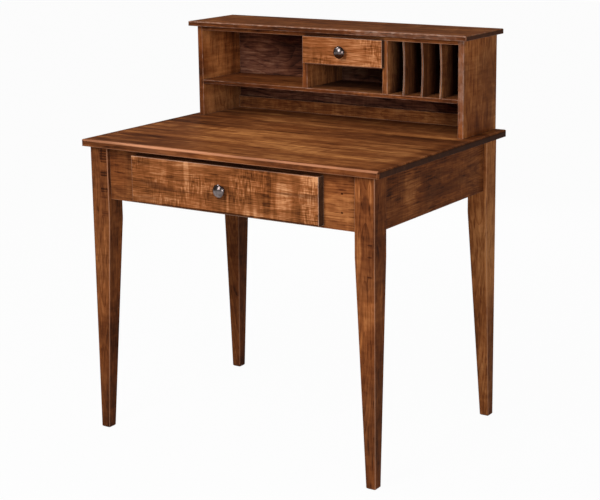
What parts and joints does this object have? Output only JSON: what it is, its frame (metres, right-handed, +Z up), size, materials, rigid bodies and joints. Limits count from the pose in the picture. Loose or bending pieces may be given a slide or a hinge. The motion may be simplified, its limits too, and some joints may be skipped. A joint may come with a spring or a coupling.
{
  "type": "writing desk with hutch",
  "caption": "Shaker writing desk with tapered legs, a wide apron drawer and a low letter hutch with a small drawer and upright dividers.",
  "frame": {"origin": "on the floor, under the middle of the desk's overall width and depth", "axes": "+Z up, -Y to the sitter's side where both drawers open, +X to the sitter's right"},
  "size_m": [0.868, 0.6654, 1.019],
  "materials": {
    "top_wood": "satin stained",
    "leg_wood": "satin stained",
    "apron_wood": "satin stained",
    "drawer_front_wood": "satin stained",
    "hutch_wood": "satin stained",
    "panel_wood": "satin stained",
    "box_wood": "clear satin",
    "inner_wood": "plain",
    "knob_metal": "dark antique",
    "steel": "satin"
  },
  "bodies": {
    "desk": {"desk_top": "top_wood", "leg_front_left": "leg_wood", "leg_front_right": "leg_wood", "leg_back_left": "leg_wood", "leg_back_right": "leg_wood", "front_apron": "apron_wood", "side_apron_left": "apron_wood", "side_apron_right": "apron_wood", "back_apron": "apron_wood", "drawer_runner_left": "inner_wood", "drawer_runner_right": "inner_wood", "drawer_kicker_left": "inner_wood", "drawer_kicker_right": "inner_wood", "top_buttons": "inner_wood", "button_screws": "steel", "hutch_dowels": "inner_wood", "hutch_side_left": "hutch_wood", "hutch_side_right": "hutch_wood", "hutch_top": "top_wood", "hutch_subtop": "hutch_wood", "hutch_shelf": "hutch_wood", "hutch_upright_left": "hutch_wood", "hutch_upright_right": "hutch_wood", "hutch_drawer_shelf": "hutch_wood", "letter_divider_1": "hutch_wood", "letter_divider_2": "hutch_wood", "letter_divider_3": "hutch_wood", "hutch_back_panel": "panel_wood", "hutch_back_rail": "hutch_wood"},
    "desk_drawer": {"desk_drawer_front": "drawer_front_wood", "desk_drawer_box_front": "box_wood", "desk_drawer_side_left": "box_wood", "desk_drawer_side_right": "box_wood", "desk_drawer_back": "box_wood", "desk_drawer_bottom": "panel_wood", "desk_drawer_knob": "knob_metal", "desk_drawer_knob_screw": "steel", "desk_drawer_front_screws": "steel"},
    "hutch_drawer": {"hutch_drawer_front": "drawer_front_wood", "hutch_drawer_box_front": "box_wood", "hutch_drawer_side_left": "box_wood", "hutch_drawer_side_right": "box_wood", "hutch_drawer_back": "box_wood", "hutch_drawer_bottom": "panel_wood", "hutch_drawer_knob": "knob_metal", "hutch_drawer_knob_screw": "steel", "hutch_drawer_front_screws": "steel"}
  },
  "joints": [
    {"name": "desk_drawer_slide", "type": "slide", "parent": "desk", "child": "desk_drawer", "axis": [0, -1, 0], "range_m": [0, 0.36]},
    {"name": "hutch_drawer_slide", "type": "slide", "parent": "desk", "child": "hutch_drawer", "axis": [0, -1, 0], "range_m": [0, 0.125]}
  ]
}
